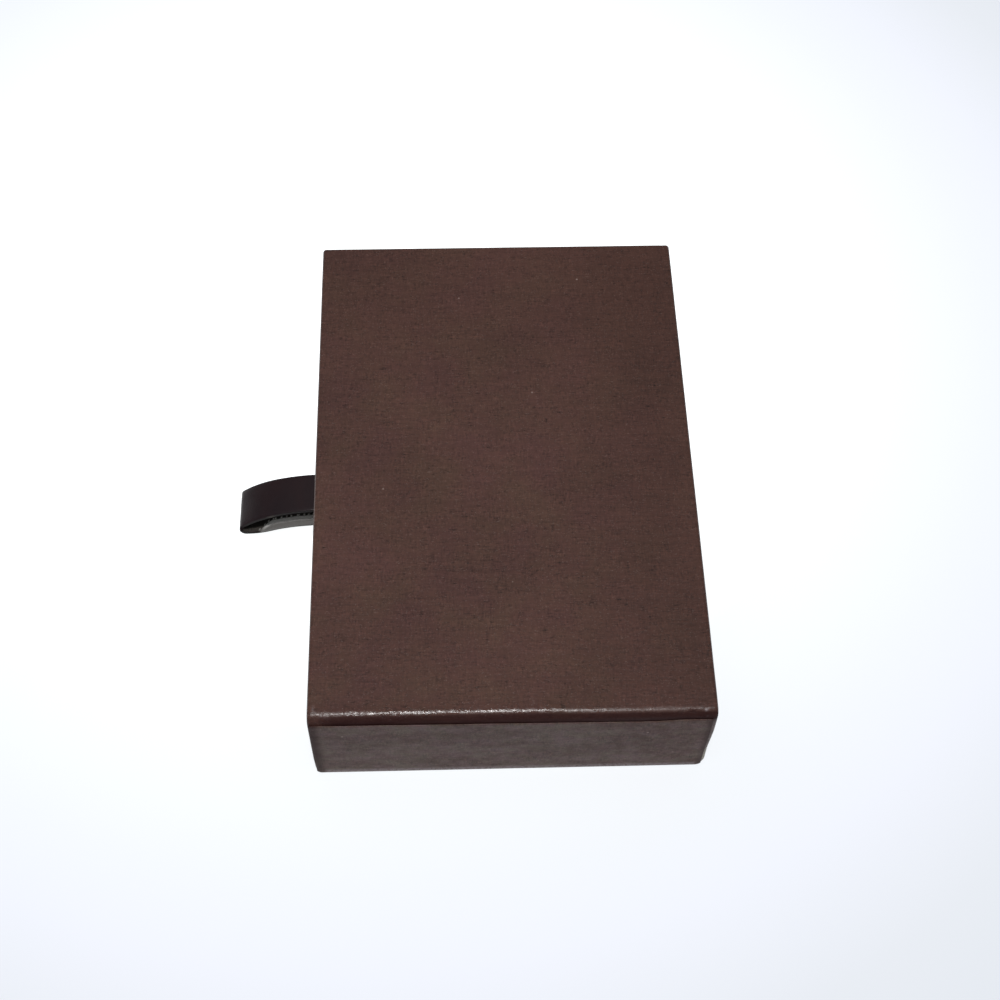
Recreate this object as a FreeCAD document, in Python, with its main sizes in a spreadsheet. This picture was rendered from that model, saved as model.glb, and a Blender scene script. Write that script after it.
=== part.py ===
import FreeCAD, Part
import math
import os
import Sketcher

# A rigid gift box: a covered greyboard sleeve, open on one long side, and the drawer that slides out
# of it. Millimetres. +Z is up and the sleeve stands on Z = 0. The drawer leaves along -X, so the
# sleeve's mouth is at -X and its closed back at +X. Seen from the mouth, -Y is the right end and +Y
# the left end. The origin is the middle of the sleeve's underside.

DRIVING = {
    # sleeve
    "sleeve_width": 90,         # along X, mouth to back
    "sleeve_length": 135,       # along Y, end to end
    "sleeve_height": 26.5,
    "sleeve_board": 2.4,        # greyboard
    "roll_radius": 2.25,        # the board's top edge over the right end
    "corner_radius": 1.1,       # the sleeve's four upright edges
    "edge_radius": 0.55,        # every other outside edge of the boards
    "glue_film": 0.12,          # glue, or a corner stay, between board and covering
    "paper": 0.25,              # covering, strips, linings and base sheets
    "stay_leg": 8,              # reach of a corner stay from its corner
    "stay_inset": 2,            # a stay stops this far short of the boards
    "mouth_turn_in": 12,        # covering turned into the mouth
    "flap_depth": 9,            # covering turned over the ends, under the strips, and under the floor
    "lining_gap": 0.3,          # turned-in covering to lining
    "base_inset": 1.5,          # base sheet in from the edges
    "strip_margin": 0.9,        # end strip in from the mouth and up from the underside
    "strip_back_margin": 1.6,   # end strip in from the back
    "strip_drop_mouth": 2.7,    # covering that shows above an end strip, at the mouth
    "strip_drop_back": 3.1,     # and at the back
    # drawer
    "drawer_board": 2,
    "drawer_recess": 0.5,       # drawer front behind the mouth
    "side_clearance": 0.5,
    "top_clearance": 0.5,
    "floor_clearance": 0.2,
    "back_clearance": 0.5,
    "rim_turn_in": 5,           # covering turned over the rim
    "lining_drop": 3,           # rim to lining
    "liner_card": 0.6,          # floor liner and front liner
    # pull strap
    "strap_width": 10,
    "strap_thick": 0.9,
    "slit_play": 0.2,           # round the strap in its slits
    "upper_exit": 14.5,         # top of the strap at the upper slit
    "lower_exit": 7.7,          # underside of the strap at the lower slit
    "loop_reach": 20,           # loop beyond the mouth
    "loop_gap": 0.3,            # loop to the drawer's face
    "crown_radius": 30,         # upper strand
    "nose_radius": 1.7,         # fold at the tip
    "sag_run": 6.3,             # lowest point of the fold to where the lower strand's curve reverses
    "tail_gap": 0.3,            # tails to the upper strand and to the turned-in covering
    "tail_bend": 0.7,           # outside of the bend where a tail turns up
    "patch_thick": 0.3,
    "patch_margin": 3,          # patch beyond the strap at each side
}

doc = FreeCAD.newDocument("drawer_gift_box")
dims = doc.addObject("Spreadsheet::Sheet", "dims")
for row, (alias, value) in enumerate(DRIVING.items(), start=1):
    dims.set(f"A{row}", alias)
    dims.set(f"B{row}", str(value))
    dims.setAlias(f"B{row}", alias)
doc.recompute()

OVERCUT = "1"       # how far a cutting box runs past the wall that it opens
EDGE_MATCH = 0.01   # how near an edge lies to the place that it is looked up by

sub_parts = []


def keep(label, made):
    """Names a finished sub-part."""
    made.Label = label
    sub_parts.append(made)
    return made


# ---- helpers: boxes, booleans, sketches ----------------------------------------------------------

def box(name, low, high):
    """A box between two corners, each of three expressions."""
    made = doc.addObject("Part::Box", name)
    for side, axis, start, end in zip(("Length", "Width", "Height"), "xyz", low, high):
        made.setExpression(side, f"({end}) - ({start})")
        made.setExpression(f"Placement.Base.{axis}", start)
    return made


def inset(low, high, step):
    """Two corners moved in by step on every side."""
    return tuple(f"{start} + {step}" for start in low), tuple(f"{end} - {step}" for end in high)


def combine(kind, name, base, tool):
    made = doc.addObject(f"Part::{kind}", name)
    made.Base = base
    made.Tool = tool
    return made


def fuse(name, pieces):
    made = doc.addObject("Part::MultiFuse", name)
    made.Shapes = pieces
    return made


def sketch_on(body, name, role):
    """A sketch on one of the body's own origin planes."""
    plane = next(feature for feature in body.Origin.OriginFeatures if feature.Role == role)
    sketch = body.newObject("Sketcher::SketchObject", name)
    sketch.AttachmentSupport = [(plane, "")]
    sketch.MapMode = "FlatFace"
    return sketch


def bind(sketch, kind, *places, to):
    """Adds a size to a sketch, at the expression's value, and ties it to the expression."""
    value = float(sketch.evalExpression(to))
    index = sketch.addConstraint(Sketcher.Constraint(kind, *places, value))
    sketch.setExpression(f"Constraints[{index}]", to)


def polygon(sketch, corners, on_origin=True):
    """A closed outline through the corners. Level and upright lines stay so."""
    points = [FreeCAD.Vector(x, y, 0) for x, y in corners]
    for index, start in enumerate(points):
        sketch.addGeometry(Part.LineSegment(start, points[(index + 1) % len(points)]))
    for index, start in enumerate(points):
        following = (index + 1) % len(points)
        sketch.addConstraint(Sketcher.Constraint("Coincident", index, 2, following, 1))
        if points[following].y == start.y:
            sketch.addConstraint(Sketcher.Constraint("Horizontal", index))
        elif points[following].x == start.x:
            sketch.addConstraint(Sketcher.Constraint("Vertical", index))
    if on_origin:
        sketch.addConstraint(Sketcher.Constraint("Coincident", 0, 1, -1, 1))


def pad(body, name, sketch, length, midplane=False):
    made = body.newObject("PartDesign::Pad", name)
    made.Profile = sketch
    made.setExpression("Length", length)
    made.Midplane = midplane
    sketch.Visibility = False
    return made


def edges_at(shape, bounds, places):
    """Names of a block's straight edges at places: -1, 0 or 1 on each axis, 0 along the edge."""
    middle = bounds.Center
    half = FreeCAD.Vector(bounds.XLength / 2, bounds.YLength / 2, bounds.ZLength / 2)
    names = []
    for index, edge in enumerate(shape.Edges, start=1):
        start, end = (vertex.Point for vertex in (edge.Vertexes[0], edge.Vertexes[-1]))
        for place in places:
            wanted = [middle[axis] + place[axis] * half[axis] for axis in range(3)]
            on_line = all(
                abs(point[axis] - wanted[axis]) < EDGE_MATCH
                for point in (start, end) for axis in range(3) if place[axis]
            )
            if on_line:
                names.append(f"Edge{index}")
    return names


def fillet(body, name, bounds, places, radius):
    """Rounds edges of the body's tip. bounds is the box round the block before any rounding."""
    base = body.Tip
    made = body.newObject("PartDesign::Fillet", name)
    made.Base = (base, edges_at(base.Shape, bounds, places))
    made.setExpression("Radius", radius)
    return made


def rounded_block(name, low, high, rounding):
    """A body with the given corners. rounding holds pairs of edge places and radius, largest first."""
    body = doc.addObject("PartDesign::Body", name)
    sketch = sketch_on(body, f"{name}_plan", "XY_Plane")
    size_x, size_y, size_z = (f"({end}) - ({start})" for start, end in zip(low, high))
    polygon(sketch, [(0, 0), (1, 0), (1, 1), (0, 1)])
    bind(sketch, "DistanceX", 0, 1, 0, 2, to=size_x)
    bind(sketch, "DistanceY", 1, 1, 1, 2, to=size_y)
    pad(body, f"{name}_pad", sketch, size_z)
    doc.recompute()
    bounds = body.Tip.Shape.BoundBox
    for index, (places, radius) in enumerate(rounding):
        fillet(body, f"{name}_rounding_{index}", bounds, places, radius)
        doc.recompute()
    for axis, start in zip("xyz", low):
        body.setExpression(f"Placement.Base.{axis}", start)
    return body


ALL_EDGES = [
    (x, y, z) for x in (-1, 0, 1) for y in (-1, 0, 1) for z in (-1, 0, 1) if [x, y, z].count(0) == 1
]


def covered_block(prefix, low, high, rounding):
    """Three nested blocks: the covering's outside, its inside, and the outside of the boards."""
    blocks = []
    for layer, step in (("skin", "0"), ("glue", "dims.paper"), ("core", "(dims.paper + dims.glue_film)")):
        thickness = f"(dims.paper + dims.glue_film - {step})"
        outer = [(places, f"{radius} + {thickness}") for places, radius in rounding]
        blocks.append(rounded_block(f"{prefix}_{layer}", *inset(low, high, step), outer))
    return blocks


def covering(label, skin, glue, turn_in, openings):
    """The sheet that covers a tray: a skin over the boards, turned in at the open side."""
    ring_out = box(f"{label}_ring_out", *turn_in[0])
    ring_in = box(f"{label}_ring_in", *turn_in[1])
    ring = combine("Cut", f"{label}_ring", ring_out, ring_in)
    filling = combine("Cut", f"{label}_filling", glue, ring)
    tool = fuse(f"{label}_tool", [filling] + openings)
    return keep(label, combine("Cut", label, skin, tool))


def corner_stays(label, glue, core, corners):
    """Bent paper strips in the glue layer, at the corners between the walls."""
    film = combine("Cut", f"{label}_film", glue, core)
    boxes = [box(f"{label}_corner_{n}", *corner) for n, corner in enumerate(corners)]
    return keep(label, combine("Common", label, film, fuse(f"{label}_reach", boxes)))


def mirrored(low, high):
    """The same box on the other side of Y = 0."""
    return (low[0], f"-({high[1]})", low[2]), (high[0], f"-({low[1]})", high[2])


# ---- sleeve --------------------------------------------------------------------------------------

layer = "(dims.paper + dims.glue_film)"
mouth = "-dims.sleeve_width / 2"
back = "dims.sleeve_width / 2"
end = "dims.sleeve_length / 2"
top = "dims.sleeve_height"
cavity_floor = f"(dims.paper + {layer} + dims.sleeve_board)"
cavity_roof = f"({top} - {layer} - dims.sleeve_board)"
cavity_end = f"({end} - dims.paper - {layer} - dims.sleeve_board)"
cavity_back = f"({back} - {layer} - dims.sleeve_board)"

rolled_edges = [(0, -1, 1)]
upright_edges = [(-1, -1, 0), (-1, 1, 0), (1, -1, 0), (1, 1, 0)]
other_edges = [place for place in ALL_EDGES if place not in rolled_edges + upright_edges]
sleeve_skin, sleeve_glue, sleeve_core = covered_block(
    "sleeve",
    (mouth, f"-({end} - dims.paper)", "dims.paper"),
    (back, f"{end} - dims.paper", top),
    [
        (rolled_edges, "dims.roll_radius"),
        (upright_edges, "dims.corner_radius"),
        (other_edges, "dims.edge_radius"),
    ],
)


def sleeve_board(label, low, high):
    return keep(label, combine("Common", label, sleeve_core, box(f"{label}_slab", low, high)))


sleeve_board("sleeve_top_board", (mouth, f"-{end}", cavity_roof), (back, end, top))
sleeve_board("sleeve_bottom_board", (mouth, f"-{end}", "0"), (back, end, cavity_floor))
sleeve_board("sleeve_back_board", (cavity_back, f"-{end}", cavity_floor), (back, end, cavity_roof))
right_end = (mouth, f"-{end}", cavity_floor), (cavity_back, f"-{cavity_end}", cavity_roof)
sleeve_board("sleeve_right_end_board", *right_end)
sleeve_board("sleeve_left_end_board", *mirrored(*right_end))

stay_start = f"{mouth} + {layer} + dims.stay_inset"
stay_stop = f"{back} - {layer} - dims.stay_inset"
top_stay = (stay_start, f"-{end}", f"{top} - dims.stay_leg"), (stay_stop, f"-{end} + dims.stay_leg", top)
bottom_stay = (stay_start, f"-{end}", "0"), (stay_stop, f"-{end} + dims.stay_leg", "dims.stay_leg")
corner_stays(
    "sleeve_corner_stays", sleeve_glue, sleeve_core,
    [top_stay, bottom_stay, mirrored(*top_stay), mirrored(*bottom_stay)],
)

turned_in = f"{mouth} + dims.mouth_turn_in"
clear_end = f"({cavity_end} - dims.paper)"
clear_floor = f"({cavity_floor} + dims.paper)"
clear_roof = f"({cavity_roof} - dims.paper)"
sleeve_turn_in = (
    ((f"{mouth} + dims.paper", f"-{cavity_end}", cavity_floor), (turned_in, cavity_end, cavity_roof)),
    ((mouth, f"-{clear_end}", clear_floor), (f"{turned_in} + {OVERCUT}", clear_end, clear_roof)),
)
mouth_opening = box(
    "mouth_opening",
    (f"{mouth} - {OVERCUT}", f"-{clear_end}", clear_floor),
    (turned_in, clear_end, clear_roof),
)
flap_start = f"{mouth} + dims.flap_depth"
flap_stop = f"{back} - dims.flap_depth"
right_window = (
    (flap_start, f"-{end} - {OVERCUT}", "dims.flap_depth"),
    (flap_stop, f"-{end} + dims.paper + {layer}", f"{top} - dims.flap_depth"),
)
under_window = (
    (flap_start, f"-{end} + dims.flap_depth", f"-{OVERCUT}"),
    (flap_stop, f"{end} - dims.flap_depth", f"dims.paper + {layer}"),
)
covering(
    "sleeve_covering", sleeve_skin, sleeve_glue, sleeve_turn_in,
    [
        mouth_opening,
        box("right_flap_window", *right_window),
        box("left_flap_window", *mirrored(*right_window)),
        box("under_window", *under_window),
    ],
)

lining_out = box(
    "lining_out",
    (f"{turned_in} + dims.lining_gap", f"-{cavity_end}", cavity_floor),
    (cavity_back, cavity_end, cavity_roof),
)
lining_in = box(
    "lining_in",
    (mouth, f"-{clear_end}", clear_floor),
    (f"{cavity_back} - dims.paper", clear_end, clear_roof),
)
keep("sleeve_lining", combine("Cut", "sleeve_lining", lining_out, lining_in))

keep("sleeve_base_sheet", box(
    "sleeve_base_sheet",
    (f"{mouth} + dims.base_inset", f"-{end} + dims.base_inset", "0"),
    (f"{back} - dims.base_inset", f"{end} - dims.base_inset", "dims.paper"),
))


def end_strip(label, outer_face):
    """A strip of covering on one end. Its top edge runs a little out of level."""
    body = doc.addObject("PartDesign::Body", label)
    sketch = sketch_on(body, f"{label}_outline", "XZ_Plane")
    polygon(sketch, [(0, 0), (1, 0), (1, 3), (0, 2)])
    length = "dims.sleeve_width - dims.strip_margin - dims.strip_back_margin"
    bind(sketch, "DistanceX", 0, 1, 0, 2, to=length)
    bind(sketch, "DistanceY", 1, 1, 1, 2, to=f"{top} - dims.strip_drop_back - dims.strip_margin")
    bind(sketch, "DistanceY", 3, 2, 3, 1, to=f"{top} - dims.strip_drop_mouth - dims.strip_margin")
    pad(body, f"{label}_pad", sketch, "dims.paper")
    body.setExpression("Placement.Base.x", f"{mouth} + dims.strip_margin")
    body.setExpression("Placement.Base.y", outer_face)
    body.setExpression("Placement.Base.z", "dims.strip_margin")
    return keep(label, body)


end_strip("sleeve_right_end_strip", f"-{end} + dims.paper")
end_strip("sleeve_left_end_strip", end)


# ---- drawer --------------------------------------------------------------------------------------

face = f"({mouth} + dims.drawer_recess)"
rear = f"({cavity_back} - dims.paper - dims.back_clearance)"
side = f"({clear_end} - dims.side_clearance)"
underside = f"({clear_floor} + dims.floor_clearance)"
rim = f"({clear_roof} - dims.top_clearance)"
inner_front = f"({face} + {layer} + dims.drawer_board)"
inner_rear = f"({rear} - {layer} - dims.drawer_board)"
inner_side = f"({side} - {layer} - dims.drawer_board)"
inner_floor = f"({underside} + dims.paper + {layer} + dims.drawer_board)"

drawer_skin, drawer_glue, drawer_core = covered_block(
    "drawer",
    (face, f"-{side}", f"{underside} + dims.paper"),
    (rear, side, rim),
    [(ALL_EDGES, "dims.edge_radius")],
)

strand_half = "dims.strap_width / 2"
upper_strand = "(dims.upper_exit - dims.strap_thick)"


def slit(name, underneath):
    """The cut for one strand, through the drawer's front board and covering."""
    play = "dims.slit_play"
    over = f"{underneath} + dims.strap_thick"
    return box(
        name,
        (f"{face} - {OVERCUT}", f"-{strand_half} - {play}", f"{underneath} - {play}"),
        (f"{inner_front} + {OVERCUT}", f"{strand_half} + {play}", f"{over} + {play}"),
    )


slits = fuse("strap_slits", [slit("upper_slit", upper_strand), slit("lower_slit", "dims.lower_exit")])

front_slab = box("drawer_front_slab", (face, f"-{side}", underside), (inner_front, side, rim))
front_blank = combine("Common", "drawer_front_blank", drawer_core, front_slab)
keep("drawer_front_board", combine("Cut", "drawer_front_board", front_blank, slits))


def drawer_board(label, low, high):
    return keep(label, combine("Common", label, drawer_core, box(f"{label}_slab", low, high)))


drawer_board("drawer_back_board", (inner_rear, f"-{side}", underside), (rear, side, rim))
right_side = (inner_front, f"-{side}", underside), (inner_rear, f"-{inner_side}", rim)
drawer_board("drawer_right_side_board", *right_side)
drawer_board("drawer_left_side_board", *mirrored(*right_side))
drawer_board(
    "drawer_floor_board",
    (inner_front, f"-{inner_side}", underside),
    (inner_rear, inner_side, inner_floor),
)

stay_foot = f"{underside} + dims.paper + {layer} + dims.stay_inset"
stay_head = f"{rim} - {layer} - dims.stay_inset"
stay_edge = f"-{side} + dims.stay_leg"
front_stay = (face, f"-{side}", stay_foot), (f"{face} + dims.stay_leg", stay_edge, stay_head)
rear_stay = (f"{rear} - dims.stay_leg", f"-{side}", stay_foot), (rear, stay_edge, stay_head)
corner_stays(
    "drawer_corner_stays", drawer_glue, drawer_core,
    [front_stay, rear_stay, mirrored(*front_stay), mirrored(*rear_stay)],
)

rim_fold = f"({rim} - dims.rim_turn_in)"
clear_side = f"({inner_side} - dims.paper)"
drawer_turn_in = (
    ((inner_front, f"-{inner_side}", rim_fold), (inner_rear, inner_side, f"{rim} - dims.paper")),
    (
        (f"{inner_front} + dims.paper", f"-{clear_side}", f"{rim_fold} - {OVERCUT}"),
        (f"{inner_rear} - dims.paper", clear_side, rim),
    ),
)
drawer_opening = box(
    "drawer_opening",
    (f"{inner_front} + dims.paper", f"-{clear_side}", rim_fold),
    (f"{inner_rear} - dims.paper", clear_side, f"{rim} + {OVERCUT}"),
)
drawer_under_window = box(
    "drawer_under_window",
    (f"{face} + dims.flap_depth", f"-{side} + dims.flap_depth", underside),
    (f"{rear} - dims.flap_depth", f"{side} - dims.flap_depth", f"{underside} + dims.paper + {layer}"),
)
covering(
    "drawer_covering", drawer_skin, drawer_glue, drawer_turn_in,
    [drawer_opening, drawer_under_window, slits],
)

keep("drawer_base_sheet", box(
    "drawer_base_sheet",
    (f"{face} + dims.base_inset", f"-{side} + dims.base_inset", underside),
    (f"{rear} - dims.base_inset", f"{side} - dims.base_inset", f"{underside} + dims.paper"),
))

liner_top = f"({inner_floor} + dims.liner_card)"
lining_head = f"{rim} - dims.lining_drop"
patch_face = f"({inner_front} + dims.strap_thick + dims.patch_thick)"
lined_side = f"({clear_side} - dims.paper)"
lined_rear = f"({inner_rear} - 2 * dims.paper)"
keep("drawer_floor_liner", box(
    "drawer_floor_liner",
    (inner_front, f"-{inner_side}", inner_floor),
    (inner_rear, inner_side, liner_top),
))
wall_lining_out = box(
    "wall_lining_out",
    (patch_face, f"-{clear_side}", liner_top),
    (f"{inner_rear} - dims.paper", clear_side, lining_head),
)
wall_lining_in = box(
    "wall_lining_in",
    (face, f"-{lined_side}", underside),
    (lined_rear, lined_side, rim),
)
keep("drawer_wall_lining", combine("Cut", "drawer_wall_lining", wall_lining_out, wall_lining_in))
keep("drawer_front_liner", box(
    "drawer_front_liner",
    (patch_face, f"-{lined_side}", liner_top),
    (f"{patch_face} + dims.liner_card", lined_side, lining_head),
))


# ---- pull strap ----------------------------------------------------------------------------------

def strap_tail(label, underneath, head):
    """One end of the strap: in through its slit, then up the inside of the drawer's front board."""
    body = doc.addObject("PartDesign::Body", label)
    sketch = sketch_on(body, f"{label}_outline", "XZ_Plane")
    polygon(sketch, [(0, 0), (2, 0), (2, 2), (1, 2), (1, 1), (0, 1)])
    bind(sketch, "DistanceX", 0, 1, 0, 2, to=f"{layer} + dims.drawer_board + dims.strap_thick")
    bind(sketch, "DistanceY", 1, 1, 1, 2, to=f"{head} - ({underneath})")
    bind(sketch, "DistanceX", 2, 2, 2, 1, to="dims.strap_thick")
    bind(sketch, "DistanceY", 5, 2, 5, 1, to="dims.strap_thick")
    pad(body, f"{label}_pad", sketch, "dims.strap_width", midplane=True)
    doc.recompute()
    fillet(body, f"{label}_bend", body.Tip.Shape.BoundBox, [(1, 0, -1)], "dims.tail_bend")
    body.setExpression("Placement.Base.x", face)
    body.setExpression("Placement.Base.z", underneath)
    return keep(label, body)


upper_tail_head = f"({rim_fold} - dims.tail_gap)"
strap_tail("pull_strap_upper_tail", upper_strand, upper_tail_head)
strap_tail("pull_strap_lower_tail", "dims.lower_exit", f"({upper_strand} - dims.tail_gap)")

keep("pull_strap_anchor_patch", box(
    "pull_strap_anchor_patch",
    (f"{inner_front} + dims.strap_thick", f"-{strand_half} - dims.patch_margin", "dims.lower_exit"),
    (patch_face, f"{strand_half} + dims.patch_margin", upper_tail_head),
))


def loop_path(sketch):
    """The strap's outside line: crown, fold, sag and root arcs, each tangent to the next."""
    crown_radius = dims.crown_radius
    nose_radius = dims.nose_radius
    nose_x = -(dims.loop_reach + dims.drawer_recess - dims.loop_gap - dims.nose_radius)
    crown_turn = math.asin(-nose_x / (crown_radius - nose_radius))
    nose_z = dims.upper_exit - crown_radius + (crown_radius - nose_radius) * math.cos(crown_turn)
    foot_z = nose_z - nose_radius
    sag_turn = 2 * math.atan((dims.lower_exit - foot_z) / -nose_x)
    sag_radius = dims.sag_run / math.sin(sag_turn)
    root_radius = (-nose_x - dims.sag_run) / math.sin(sag_turn)
    quarter = math.pi / 2
    arcs = [
        (0, dims.upper_exit - crown_radius, crown_radius, quarter, quarter + crown_turn),
        (nose_x, nose_z, nose_radius, quarter + crown_turn, 3 * quarter),
        (nose_x, foot_z + sag_radius, sag_radius, 3 * quarter, 3 * quarter + sag_turn),
        (0, dims.lower_exit - root_radius, root_radius, quarter, quarter + sag_turn),
    ]
    for centre_x, centre_z, radius, start, stop in arcs:
        circle = Part.Circle(FreeCAD.Vector(centre_x, centre_z, 0), FreeCAD.Vector(0, 0, 1), radius)
        sketch.addGeometry(Part.ArcOfCircle(circle, start, stop))
    crown, nose, sag, root = range(4)
    start, stop, centre = 1, 2, 3
    origin = (-1, 1)
    upright_axis = -2
    joins = ((crown, stop, nose, start), (nose, stop, sag, start), (sag, stop, root, stop))
    for join in joins:
        sketch.addConstraint(Sketcher.Constraint("Tangent", *join))
    for point in ((crown, start), (crown, centre), (root, start), (root, centre)):
        sketch.addConstraint(Sketcher.Constraint("PointOnObject", *point, upright_axis))
    sketch.addConstraint(Sketcher.Constraint("Vertical", nose, centre, nose, stop))
    bind(sketch, "DistanceY", *origin, crown, start, to="dims.upper_exit")
    bind(sketch, "DistanceY", *origin, root, start, to="dims.lower_exit")
    bind(sketch, "Radius", crown, to="dims.crown_radius")
    bind(sketch, "Radius", nose, to="dims.nose_radius")
    reach = "dims.loop_reach + dims.drawer_recess - dims.loop_gap - dims.nose_radius"
    bind(sketch, "DistanceX", nose, centre, *origin, to=reach)
    bind(sketch, "DistanceX", nose, stop, sag, stop, to="dims.sag_run")


def pull_loop():
    """The strap outside the drawer, swept from the upper slit round to the lower one."""
    body = doc.addObject("PartDesign::Body", "pull_strap_loop")
    path = sketch_on(body, "loop_path", "XZ_Plane")
    loop_path(path)
    section = sketch_on(body, "loop_section", "YZ_Plane")
    polygon(section, [(-1, 1), (1, 1), (1, 2), (-1, 2)], on_origin=False)
    bind(section, "DistanceX", 0, 1, 0, 2, to="dims.strap_width")
    bind(section, "DistanceX", -1, 1, 0, 2, to=strand_half)
    bind(section, "DistanceY", 1, 1, 1, 2, to="dims.strap_thick")
    bind(section, "DistanceY", -1, 1, 0, 1, to=upper_strand)
    doc.recompute()
    sweep = body.newObject("PartDesign::AdditivePipe", "loop_sweep")
    sweep.Profile = section
    sweep.Spine = (path, [f"Edge{n + 1}" for n in range(len(path.Shape.Edges))])
    body.setExpression("Placement.Base.x", f"{face} - dims.loop_gap")
    return keep("pull_strap_loop", body)


pull_loop()


# ---- checks and files ----------------------------------------------------------------------------

doc.recompute()
failed = [made.Name for made in doc.Objects if {"Invalid", "Error"} & set(made.State)]
if failed:
    raise RuntimeError(f"not made: {failed}")
for made in sub_parts:
    if made.Shape.isNull() or not made.Shape.isValid() or not made.Shape.Solids:
        raise RuntimeError(f"bad shape: {made.Label}")

os.makedirs("parts", exist_ok=True)
for made in sub_parts:
    made.Shape.exportStep(f"parts/{made.Label}.step")
    extent = made.Shape.BoundBox
    print(f"{made.Label}: {len(made.Shape.Solids)} solid(s), {made.Shape.Volume:.1f} mm3, "
          f"x {extent.XMin:.2f}..{extent.XMax:.2f} y {extent.YMin:.2f}..{extent.YMax:.2f} "
          f"z {extent.ZMin:.2f}..{extent.ZMax:.2f}")
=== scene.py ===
import math
import bmesh
import bpy
from mathutils import Matrix, Vector, noise


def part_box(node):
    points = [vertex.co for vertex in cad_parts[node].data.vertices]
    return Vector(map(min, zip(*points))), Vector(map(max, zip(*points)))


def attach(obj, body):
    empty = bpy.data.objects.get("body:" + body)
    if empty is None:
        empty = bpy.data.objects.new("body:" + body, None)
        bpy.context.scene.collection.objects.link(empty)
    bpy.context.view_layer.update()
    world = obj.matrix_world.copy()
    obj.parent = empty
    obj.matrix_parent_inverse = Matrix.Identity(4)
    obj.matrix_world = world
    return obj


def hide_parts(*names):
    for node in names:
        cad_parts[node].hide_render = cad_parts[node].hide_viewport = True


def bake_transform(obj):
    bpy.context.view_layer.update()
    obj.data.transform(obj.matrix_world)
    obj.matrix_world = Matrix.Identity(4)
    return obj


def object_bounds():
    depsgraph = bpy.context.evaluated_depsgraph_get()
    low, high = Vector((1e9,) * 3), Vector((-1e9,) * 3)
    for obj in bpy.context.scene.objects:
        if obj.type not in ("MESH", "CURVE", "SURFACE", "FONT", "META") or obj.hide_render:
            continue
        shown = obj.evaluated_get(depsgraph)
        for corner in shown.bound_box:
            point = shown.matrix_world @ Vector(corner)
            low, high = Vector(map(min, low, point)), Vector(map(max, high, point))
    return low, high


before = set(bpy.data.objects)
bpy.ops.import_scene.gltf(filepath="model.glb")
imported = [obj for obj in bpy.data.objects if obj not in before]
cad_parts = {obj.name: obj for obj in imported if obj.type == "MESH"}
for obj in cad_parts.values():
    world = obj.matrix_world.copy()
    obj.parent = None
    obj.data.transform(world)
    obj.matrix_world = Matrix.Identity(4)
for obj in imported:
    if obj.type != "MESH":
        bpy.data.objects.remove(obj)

mm = 0.001
cadLow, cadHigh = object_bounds()
print("frame loaded with", len(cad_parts), "nodes")


# camera, light and floor

studio = {
    "azimuth": -2.824,        # degrees, from straight in front of the right end
    "elevation": 57.549,
    "roll": 1.392,
    "distance": 425.6,        # mm, camera to target
    "target": (-0.479, 5.822, 0.0),
    "lens": 60.42,
    "sensor": 36.0,
    "nearest": 0.01,          # metres, first and last that the camera sees
    "farthest": 20.0,
    "keyStrength": 2.5,
    "keyColour": (1.0, 0.99, 0.985),
    "keySpread": 10.0,        # degrees across the softbox
    "keyTilt": 12.0,          # towards the front
    "skyColour": (0.94, 0.985, 1.0, 1),
    "skyTop": 0.50,
    "skyHorizon": 0.10,
    "backdrop": (0.96, 0.98, 1.0, 1),
}


def placeCamera():
    azimuth = math.radians(studio["azimuth"])
    elevation = math.radians(studio["elevation"])
    roll = math.radians(studio["roll"])
    back = Vector((
        math.sin(azimuth) * math.cos(elevation),
        -math.cos(azimuth) * math.cos(elevation),
        math.sin(elevation),
    ))
    right = Vector((0, 0, 1)).cross(back).normalized()
    up = back.cross(right)
    rolledRight = right * math.cos(roll) + up * math.sin(roll)
    rolledUp = up * math.cos(roll) - right * math.sin(roll)
    place = (Vector(studio["target"]) + back * studio["distance"]) * mm
    lens = bpy.data.cameras.new("camera")
    lens.lens = studio["lens"]
    lens.sensor_width = studio["sensor"]
    lens.clip_start = studio["nearest"]
    lens.clip_end = studio["farthest"]
    camera = bpy.data.objects.new("camera", lens)
    turn = Matrix((rolledRight, rolledUp, back)).transposed().to_4x4()
    camera.matrix_world = Matrix.Translation(place) @ turn
    bpy.context.scene.collection.objects.link(camera)
    bpy.context.scene.camera = camera


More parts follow.
